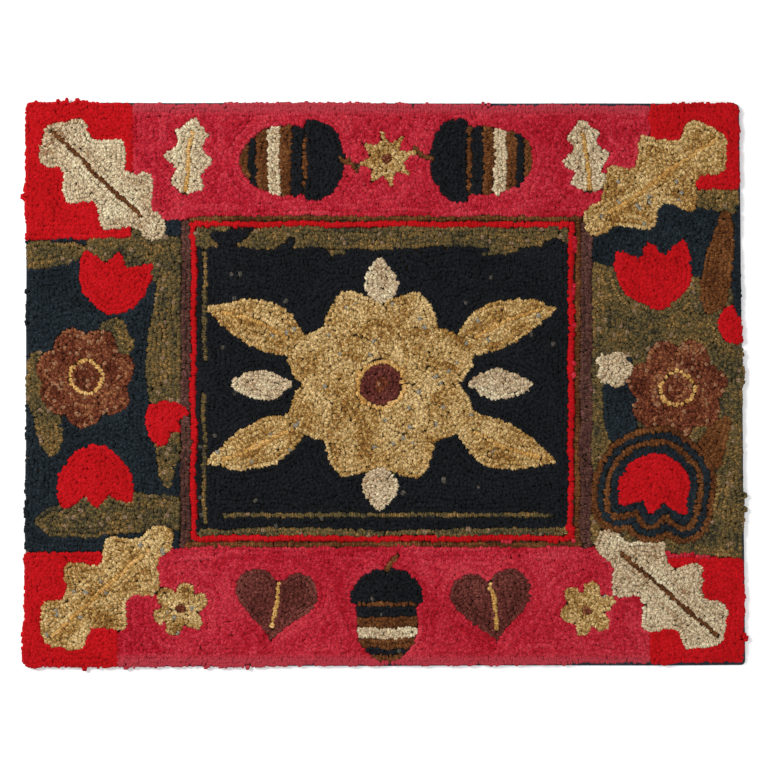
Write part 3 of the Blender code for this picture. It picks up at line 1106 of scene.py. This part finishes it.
# ---------------------------------------------------------------------------------------------
# Olive wool of the side panels, the strips in the middle field and the thin lines there: a
# heather of green, grey and ochre yarns that runs from one into another.

OLIVE = ((45, 42, 30), (68, 62, 46), (90, 74, 39), (92, 81, 51), (113, 81, 39), (134, 108, 65))
olive = hook("olive_loops", "olive", "olive_wool", OLIVE, 0.34, 0.045, flecked=0.035, fleck=(128, 104, 80))

# ---------------------------------------------------------------------------------------------
# Brown wool of the thin frame lines, the acorns, the stalks and the veins of the cream leaves,
# in two or three close lots.

BROWN = ((70, 37, 14), (93, 53, 24), (113, 71, 37))
brown = hook("brown_loops", "brown", "brown_wool", BROWN, 0.30, 0.05)

# ---------------------------------------------------------------------------------------------
# Rust wool of the two side blooms and the small flowers' centres, spun from mixed fleece, so
# that it shows light specks.

RUST = ((66, 27, 13), (97, 46, 27), (110, 58, 37), (141, 92, 58))
rust = hook("rust_loops", "rust", "rust_wool", RUST, 0.30, 0.03, flecked=0.10, fleck=(142, 100, 72))

# ---------------------------------------------------------------------------------------------
# Plum wool of the two hearts and of the big flower's centre, an even dark yarn with a little
# brown in it.

PLUM = ((73, 31, 25), (93, 43, 37), (111, 58, 50))
plum = hook("plum_loops", "plum", "plum_wool", PLUM, 0.30, 0.04)

# ---------------------------------------------------------------------------------------------
# The strips beside the frame are hooked in plum wool plied with brown and olive, and look
# duller than the rest of the plum.

DUSK = ((49, 34, 29), (78, 44, 41), (82, 55, 43), (99, 61, 59))
dusk = hook("dusk_loops", "dusk", "plum_wool", DUSK, 0.30, 0.012)

# ---------------------------------------------------------------------------------------------
# Tan wool of the double flower and its leaves, the star, the daisies and two corner leaves: many
# small lots from ochre to pale straw, which change from row to row, and a few grey loops.

TAN = ((115, 78, 33), (154, 107, 51), (156, 129, 72), (187, 147, 96), (187, 162, 108), (205, 174, 122))
TAN_FLECK = (134, 128, 114)
tan = hook("tan_loops", "tan", "tan_wool", TAN, 0.26, 0.035, flecked=0.012, fleck=TAN_FLECK, cloud_share=0.7)

# ---------------------------------------------------------------------------------------------
# Gold wool of the leaves' veins, the hearts' stems and the rings of the flowers: a brighter lot
# of the tan, hooked mostly in single rows.

GOLD = ((164, 116, 56), (193, 148, 81), (208, 167, 109))
gold = hook("gold_loops", "gold", "tan_wool", GOLD, 0.24, 0.04)

# ---------------------------------------------------------------------------------------------
# Cream wool, left undyed: four oak leaves, the buds, a small daisy and one stripe of each acorn.
# It has gone yellowish and pink in places.

CREAM = ((151, 110, 78), (176, 158, 122), (193, 167, 138), (197, 182, 146), (213, 199, 167))
cream = hook("cream_loops", "cream", "cream_wool", CREAM, 0.22, 0.04, cloud_share=0.5)

# ---------------------------------------------------------------------------------------------
# The back of the hooking: between one loop and the next the yarn runs along under the burlap as
# a short flat stitch. Where the hem lies on the tape the stitches are hidden, and left out.

STITCH_WIDTH = 0.0021
STITCH_SHARE = 0.96
STITCH_FACE = STITCH_DEPTH + 0.0003
STITCH_BACK = 0.00012

follows = (row_number[1:] == row_number[:-1]) & (row_number[1:] >= 0)
stitch_length = np.hypot(*(loop_place[1:] - loop_place[:-1]).T)
off_tape = on_tape < 0.1
starts = np.nonzero(follows & (stitch_length < 2 * LOOP_PITCH) & off_tape[1:] & off_tape[:-1])[0]


def flat_stitches(name, start, end, width, top, bottom, shade):
    """Short stitches, each a lozenge of four faces from its start to its end."""
    middle = (start + end) / 2
    run = (end - start) / 2 * STITCH_SHARE
    side = np.stack([-run[:, 1], run[:, 0]], 1) / np.hypot(*run.T)[:, None] * width / 2
    corners = np.stack([middle - run, middle + run, middle - side, middle + side], 1)
    heights = np.broadcast_to(np.array([top, top, bottom, bottom]), corners.shape[:2])
    vertices = np.concatenate([corners, heights[:, :, None]], 2)
    faces = closed_faces(vertices[0], np.array([(0, 2, 3), (1, 3, 2), (0, 1, 2), (0, 3, 1)]))
    sheet_places = laid_out(len(start), 2, 2)[:, :, :3]
    colours = np.repeat(np.concatenate([shade, np.ones((len(start), 1))], 1)[:, None], 4, 1)
    return many(name, vertices, faces, {"OFBake": sheet_places}, {"shade": colours})


def stitch_finish(name, fibres):
    """Yarn or thread that takes its colour from the stitch, with so many fibres to the metre."""
    recipe = Recipe(name)
    place = recipe.add("TexCoord").outputs["Object"]
    shade = recipe.add("Attribute", attribute_name="shade").outputs["Color"]
    fibre = recipe.noise(place, fibres, 3, 0.6)
    light = recipe.maths("MULTIPLY_ADD", fibre, 0.8, 0.6)
    return recipe.finish(recipe.times(shade, light), fibre, 0.0004, 0.95, Specular_IOR_Level=0.12)


stitch_shades = np.array([back_shades[wool] for wool in loop_wool[starts]])
back = flat_stitches(
    "back_stitches",
    loop_place[starts],
    loop_place[starts + 1],
    STITCH_WIDTH,
    STITCH_FACE,
    STITCH_BACK,
    stitch_shades,
)
back.data.materials.append(stitch_finish("Back of the hooking", 900))
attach(back, "root")
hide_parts("hooked_mat")

# ---------------------------------------------------------------------------------------------
# The binding is dark cotton twill tape, folded double, laid flat under the hem and mitred at the
# corners. It is a little out of square, so at the lower right it shows past the loops.

TAPE_WIDTH = 0.032
TAPE_CORNER = 0.006
TAPE_CUTS = 9
TAPE_EDGE = 0.0004
TAPE_RIPPLE = 0.0003
TWILL_RIB = 0.0013
TWILL_THREAD = 0.0021

tape_low, tape_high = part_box("binding")
bpy.ops.object.select_all(action="DESELECT")
bpy.ops.mesh.primitive_plane_add(size=2)
tape = bpy.context.object
tape.name = "twill_tape"
for corner in tape.data.vertices:
    side_x, side_y = (1 if corner.co.x > 0 else -1), (1 if corner.co.y > 0 else -1)
    quarter = tape_points[(tape_points[:, 0] * side_x > 0) & (tape_points[:, 1] * side_y > 0)]
    reach_x, reach_y = (quarter[:, 0] * side_x).max(), (quarter[:, 1] * side_y).max()
    corner.co = (reach_x * side_x, reach_y * side_y, tape_high.z / 2)
bpy.ops.object.mode_set(mode="EDIT")
bpy.ops.mesh.select_all(action="SELECT")
bpy.ops.mesh.bevel(offset=TAPE_CORNER, segments=4, affect="VERTICES")
bpy.ops.mesh.select_all(action="SELECT")
bpy.ops.mesh.inset(thickness=TAPE_WIDTH)
bpy.ops.mesh.delete(type="FACE")
bpy.ops.mesh.select_all(action="SELECT")
bpy.ops.mesh.subdivide(number_cuts=TAPE_CUTS)
bpy.ops.mesh.normals_make_consistent(inside=False)
bpy.ops.object.mode_set(mode="OBJECT")
for point in tape.data.vertices:
    x, y = point.co.x, point.co.y
    point.co.x += TAPE_RIPPLE * slow(x, y, 0.060, 31)
    point.co.y += TAPE_RIPPLE * slow(x, y, 0.060, 32)
thicken = tape.modifiers.new("Two layers", "SOLIDIFY")
thicken.thickness = tape_high.z - tape_low.z
thicken.offset = 0
bpy.ops.object.modifier_apply(modifier=thicken.name)
soften = tape.modifiers.new("Folded edges", "BEVEL")
soften.width = TAPE_EDGE
soften.segments = 2
soften.angle_limit = pi / 3
bpy.ops.object.modifier_apply(modifier=soften.name)
bpy.ops.object.shade_smooth()


def twill_finish():
    """Cotton twill: fine diagonal ribs, a seam across each mitre, and wear along the edges."""
    recipe = Recipe("Cotton twill")
    place = recipe.add("TexCoord").outputs["Object"]
    axes = recipe.add("SeparateXYZ", {0: place})
    x, y = axes.outputs["X"], axes.outputs["Y"]
    rib = recipe.maths("SINE", recipe.maths("MULTIPLY", recipe.maths("ADD", x, y), 2 * pi / TWILL_RIB))
    down = recipe.maths("MULTIPLY", recipe.maths("SUBTRACT", x, y), 2 * pi / TWILL_THREAD)
    thread = recipe.maths("SINE", down)
    mitre = recipe.maths("SUBTRACT", recipe.maths("ABSOLUTE", x), recipe.maths("ABSOLUTE", y))
    mitre = recipe.maths("ABSOLUTE", recipe.maths("SUBTRACT", mitre, tape_high.x - tape_high.y))
    seam = recipe.add("MapRange", {"Value": mitre, "From Min": 0.0002, "From Max": 0.0009}).outputs[0]
    wear = recipe.noise(place, 35, 4, 0.6)
    shades = [(0.3, dyed(36, 42, 50)), (0.55, dyed(46, 53, 62)), (0.8, dyed(62, 70, 80))]
    light = recipe.maths("MULTIPLY_ADD", rib, 0.10, 0.95)
    light = recipe.maths("MULTIPLY", light, recipe.maths("MULTIPLY_ADD", seam, 0.5, 0.5))
    height = recipe.maths("MULTIPLY_ADD", thread, 0.3, recipe.maths("MULTIPLY_ADD", seam, 2.0, rib))
    colour = recipe.times(recipe.ramp(wear, shades), light)
    return recipe.finish(colour, height, 0.00015, 0.9, Specular_IOR_Level=0.15)


tape.data.materials.append(twill_finish())
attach(tape, "root")
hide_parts("binding")

# ---------------------------------------------------------------------------------------------
# The tape's inner edge is felled to the burlap by hand, in slanting stitches of dark thread, one
# to every few threads of the cloth.

FELLING_PITCH = 0.0075
FELLING_LENGTH = 0.0050
THREAD = 0.0008
THREAD_SHADE = (34, 38, 44)
FELLING_FACE = STITCH_DEPTH + 0.0002
FELLING_BACK = 0.00005

left, bottom, right, top = inner_left, inner_bottom, inner_right, inner_top
felling = []
for start, end in (
    ((left, bottom), (right, bottom)),
    ((right, bottom), (right, top)),
    ((right, top), (left, top)),
    ((left, top), (left, bottom)),
):
    span = hypot(end[0] - start[0], end[1] - start[1])
    run_x, run_y = (end[0] - start[0]) / span, (end[1] - start[1]) / span
    for step in np.arange(FELLING_PITCH, span - FELLING_PITCH / 2, FELLING_PITCH):
        slant = 0.8 + 0.1 * sin(7 * step / FELLING_PITCH)
        middle_x, middle_y = start[0] + run_x * step, start[1] + run_y * step
        along_x = (run_x * cos(slant) - run_y * sin(slant)) * FELLING_LENGTH / 2
        along_y = (run_x * sin(slant) + run_y * cos(slant)) * FELLING_LENGTH / 2
        felling.append((middle_x - along_x, middle_y - along_y, middle_x + along_x, middle_y + along_y))
felling = np.array(felling)
thread_shades = np.tile(dyed(*THREAD_SHADE), (len(felling), 1))
felled = flat_stitches(
    "felling_stitches", felling[:, :2], felling[:, 2:], THREAD, FELLING_FACE, FELLING_BACK, thread_shades
)
felled.data.materials.append(stitch_finish("Dark thread", 1500))
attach(felled, "root")
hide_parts("binding")
